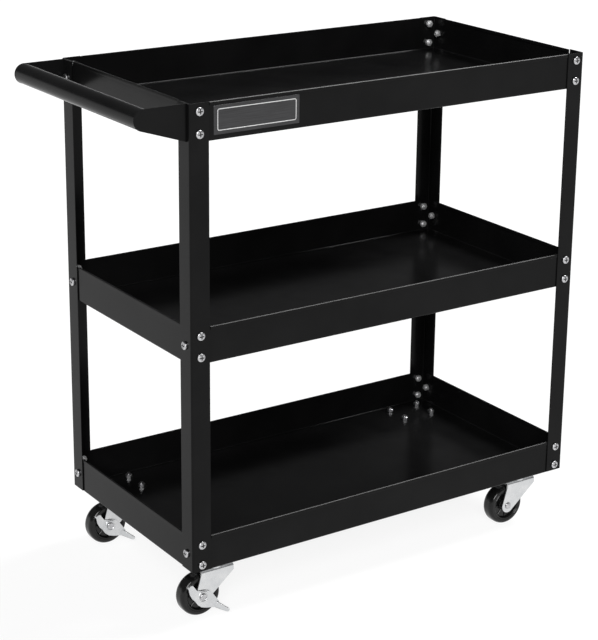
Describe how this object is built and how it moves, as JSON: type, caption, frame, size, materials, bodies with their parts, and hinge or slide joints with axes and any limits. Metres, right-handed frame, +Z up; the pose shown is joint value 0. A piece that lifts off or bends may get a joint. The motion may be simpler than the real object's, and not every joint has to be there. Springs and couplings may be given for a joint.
{
  "type": "tool cart",
  "caption": "Rolling tool cart with bolted sheet-steel shelf trays in angle legs, an end push handle, and swivel casters with side brake levers at the handle end.",
  "frame": {"origin": "on the floor under the centre of the bounding box, fasteners and handle included", "axes": "+X along the long side away from the handle, -Y the front long side with the badge, +Z up"},
  "size_m": [0.7736, 0.3734, 0.769],
  "materials": {
    "black_powder_coat": "semi-gloss black powder coat on sheet steel",
    "badge_satin": "blank satin dark grey badge plate",
    "zinc_plate": "bright zinc plating on stamped steel",
    "bolt_steel": "bright plated steel fasteners",
    "wheel_black": "glossy hard black plastic"
  },
  "bodies": {
    "cart": {"tray_bottom": "black_powder_coat", "tray_middle": "black_powder_coat", "tray_top": "black_powder_coat", "leg_front_handle": "black_powder_coat", "leg_front_far": "black_powder_coat", "leg_back_handle": "black_powder_coat", "leg_back_far": "black_powder_coat", "handle": "black_powder_coat", "badge_plate": "badge_satin", "bolt_bottom_front_handle_lower": "bolt_steel", "bolt_bottom_front_handle_upper": "bolt_steel", "bolt_bottom_front_far_lower": "bolt_steel", "bolt_bottom_front_far_upper": "bolt_steel", "bolt_bottom_front_far_end": "bolt_steel", "bolt_bottom_back_handle_lower": "bolt_steel", "bolt_bottom_back_handle_upper": "bolt_steel", "bolt_bottom_back_far_lower": "bolt_steel", "bolt_bottom_back_far_upper": "bolt_steel", "bolt_bottom_back_far_end": "bolt_steel", "bolt_middle_front_handle_lower": "bolt_steel", "bolt_middle_front_handle_upper": "bolt_steel", "bolt_middle_front_far_lower": "bolt_steel", "bolt_middle_front_far_upper": "bolt_steel", "bolt_middle_front_far_end": "bolt_steel", "bolt_middle_back_handle_lower": "bolt_steel", "bolt_middle_back_handle_upper": "bolt_steel", "bolt_middle_back_far_lower": "bolt_steel", "bolt_middle_back_far_upper": "bolt_steel", "bolt_middle_back_far_end": "bolt_steel", "bolt_top_front_handle_lower": "bolt_steel", "bolt_top_front_handle_upper": "bolt_steel", "bolt_top_front_handle_end": "bolt_steel", "bolt_top_front_far_lower": "bolt_steel", "bolt_top_front_far_upper": "bolt_steel", "bolt_top_front_far_end": "bolt_steel", "bolt_top_back_handle_lower": "bolt_steel", "bolt_top_back_handle_upper": "bolt_steel", "bolt_top_back_handle_end": "bolt_steel", "bolt_top_back_far_lower": "bolt_steel", "bolt_top_back_far_upper": "bolt_steel", "bolt_top_back_far_end": "bolt_steel", "caster_front_handle_plate": "zinc_plate", "caster_front_far_plate": "zinc_plate", "caster_back_handle_plate": "zinc_plate", "caster_back_far_plate": "zinc_plate"},
    "caster_front_handle_swivel": {"caster_front_handle_fork": "zinc_plate", "caster_front_handle_axle": "bolt_steel"},
    "caster_front_handle_wheel": {"caster_front_handle_wheel": "wheel_black"},
    "caster_front_handle_brake_lever": {"caster_front_handle_brake_lever": "zinc_plate"},
    "caster_front_far_swivel": {"caster_front_far_fork": "zinc_plate", "caster_front_far_axle": "bolt_steel"},
    "caster_front_far_wheel": {"caster_front_far_wheel": "wheel_black"},
    "caster_back_handle_swivel": {"caster_back_handle_fork": "zinc_plate", "caster_back_handle_axle": "bolt_steel"},
    "caster_back_handle_wheel": {"caster_back_handle_wheel": "wheel_black"},
    "caster_back_handle_brake_lever": {"caster_back_handle_brake_lever": "zinc_plate"},
    "caster_back_far_swivel": {"caster_back_far_fork": "zinc_plate", "caster_back_far_axle": "bolt_steel"},
    "caster_back_far_wheel": {"caster_back_far_wheel": "wheel_black"}
  },
  "joints": [
    {"name": "caster_front_handle_swivel", "type": "hinge", "parent": "cart", "child": "caster_front_handle_swivel", "pos_m": [-0.24885, -0.141, 0.079], "axis": [0, 0, 1], "continuous": true},
    {"name": "caster_front_handle_spin", "type": "hinge", "parent": "caster_front_handle_swivel", "child": "caster_front_handle_wheel", "pos_m": [-0.27485, -0.141, 0.0325], "axis": [0, 1, 0], "continuous": true},
    {"name": "caster_front_handle_brake", "type": "hinge", "parent": "caster_front_handle_swivel", "child": "caster_front_handle_brake_lever", "pos_m": [-0.27485, -0.141, 0.0325], "axis": [0, -1, 0], "range_deg": [0, 24]},
    {"name": "caster_front_far_swivel", "type": "hinge", "parent": "cart", "child": "caster_front_far_swivel", "pos_m": [0.32515, -0.141, 0.079], "axis": [0, 0, 1], "continuous": true},
    {"name": "caster_front_far_spin", "type": "hinge", "parent": "caster_front_far_swivel", "child": "caster_front_far_wheel", "pos_m": [0.29915, -0.141, 0.0325], "axis": [0, 1, 0], "continuous": true},
    {"name": "caster_back_handle_swivel", "type": "hinge", "parent": "cart", "child": "caster_back_handle_swivel", "pos_m": [-0.24885, 0.141, 0.079], "axis": [0, 0, 1], "continuous": true},
    {"name": "caster_back_handle_spin", "type": "hinge", "parent": "caster_back_handle_swivel", "child": "caster_back_handle_wheel", "pos_m": [-0.27485, 0.141, 0.0325], "axis": [0, 1, 0], "continuous": true},
    {"name": "caster_back_handle_brake", "type": "hinge", "parent": "caster_back_handle_swivel", "child": "caster_back_handle_brake_lever", "pos_m": [-0.27485, 0.141, 0.0325], "axis": [0, -1, 0], "range_deg": [0, 24]},
    {"name": "caster_back_far_swivel", "type": "hinge", "parent": "cart", "child": "caster_back_far_swivel", "pos_m": [0.32515, 0.141, 0.079], "axis": [0, 0, 1], "continuous": true},
    {"name": "caster_back_far_spin", "type": "hinge", "parent": "caster_back_far_swivel", "child": "caster_back_far_wheel", "pos_m": [0.29915, 0.141, 0.0325], "axis": [0, 1, 0], "continuous": true}
  ]
}
